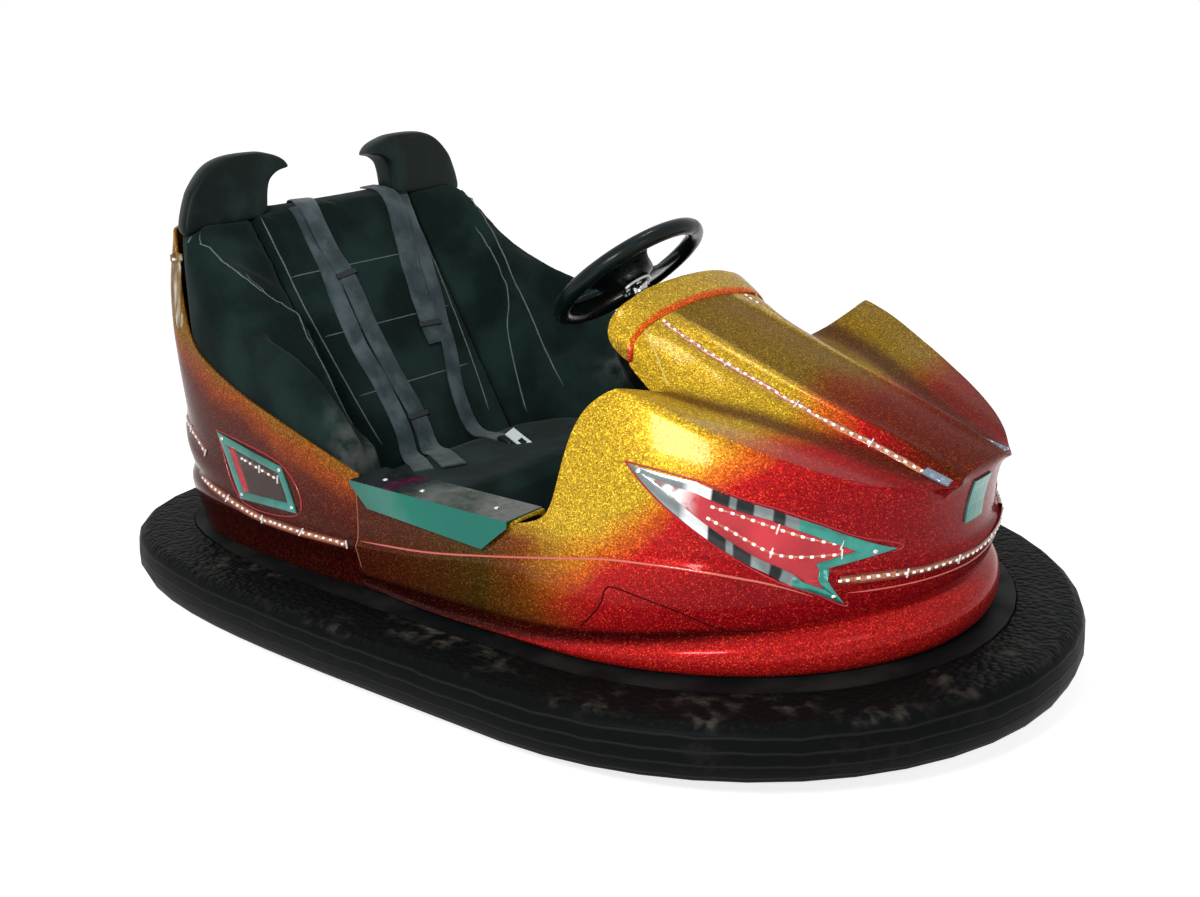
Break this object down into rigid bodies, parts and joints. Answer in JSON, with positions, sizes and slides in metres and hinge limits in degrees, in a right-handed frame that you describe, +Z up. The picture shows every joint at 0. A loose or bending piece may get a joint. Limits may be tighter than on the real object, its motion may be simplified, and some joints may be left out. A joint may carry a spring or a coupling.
{
  "type": "two-seat fairground bumper car",
  "caption": "Two-seat fairground bumper car: rubber bumper ring, moulded flake-paint body, padded bench with harness straps, steering wheel and steered front drive wheel.",
  "frame": {"origin": "floor centre under the bumper ring", "axes": "+X to the nose, +Y to the left, +Z up"},
  "size_m": [1.95, 1.26, 0.9203],
  "materials": {
    "rubber": "worn matte",
    "wheel_tyre": "matte",
    "black_steel": "satin",
    "bright_steel": "brushed",
    "chrome": "polished",
    "flake_front": "metal-flake gloss, gold fading to red",
    "flake_rear": "metal-flake gloss, dark orange to red",
    "flake_gold": "metal-flake gloss, gold",
    "upholstery": "brushed black",
    "moulded_foam": "satin",
    "webbing": "woven",
    "mirror_trim": "mirror",
    "clear_lens": "clear",
    "black_panel": "satin",
    "grey_housing": "painted"
  },
  "bodies": {
    "root": {"bumper_ring": "rubber", "bumper_band": "black_steel", "floor_pan": "black_steel", "chassis_frame": "black_steel", "body_front": "flake_front", "body_rear": "flake_rear", "cowl": "flake_gold", "dash_panel": "black_panel", "column_bush": "black_steel", "nose_trim": "mirror_trim", "arrow_trim_left": "mirror_trim", "arrow_trim_right": "mirror_trim", "arrow_lens_left": "clear_lens", "arrow_lens_right": "clear_lens", "quarter_trim_left": "mirror_trim", "quarter_trim_right": "mirror_trim", "quarter_lens_left": "clear_lens", "quarter_lens_right": "clear_lens", "sill_plate_left": "mirror_trim", "sill_plate_right": "mirror_trim", "seat_base": "black_panel", "seat_back": "upholstery", "seat_cushion": "upholstery", "bolster_left": "upholstery", "bolster_right": "upholstery", "headrest_left": "moulded_foam", "headrest_right": "moulded_foam", "belt_left": "webbing", "belt_right": "webbing", "belt_tongue": "bright_steel", "drive_tower": "black_steel", "turn_bearing": "bright_steel", "axle_left": "black_steel", "axle_right": "black_steel", "battery": "grey_housing", "pedal": "bright_steel"},
    "steering": {"steering_wheel": "moulded_foam", "steering_shaft": "chrome"},
    "drive_unit": {"drive_fork": "black_steel", "drive_motor": "grey_housing"},
    "drive_wheel": {"drive_hub": "bright_steel", "drive_tyre": "wheel_tyre"},
    "rear_wheel_left": {"rear_left_hub": "bright_steel", "rear_left_tyre": "wheel_tyre"},
    "rear_wheel_right": {"rear_right_hub": "bright_steel", "rear_right_tyre": "wheel_tyre"}
  },
  "joints": [
    {"name": "drive_turn", "type": "hinge", "parent": "root", "child": "drive_unit", "pos_m": [0.42, 0, 0.1], "axis": [0, 0, 1], "continuous": true},
    {"name": "steering_turn", "type": "hinge", "parent": "root", "child": "steering", "pos_m": [0.103, 0, 0.711], "axis": [-0.6361, 0, 0.7716], "continuous": true},
    {"name": "drive_spin", "type": "hinge", "parent": "drive_unit", "child": "drive_wheel", "pos_m": [0.42, 0, 0.1], "axis": [0, 1, 0], "continuous": true},
    {"name": "rear_left_spin", "type": "hinge", "parent": "root", "child": "rear_wheel_left", "pos_m": [-0.55, 0.36, 0.095], "axis": [0, 1, 0], "continuous": true},
    {"name": "rear_right_spin", "type": "hinge", "parent": "root", "child": "rear_wheel_right", "pos_m": [-0.55, -0.36, 0.095], "axis": [0, 1, 0], "continuous": true}
  ],
  "couplings": [
    {"joint": "steering_turn", "follows": "drive_turn", "ratio": 1}
  ]
}
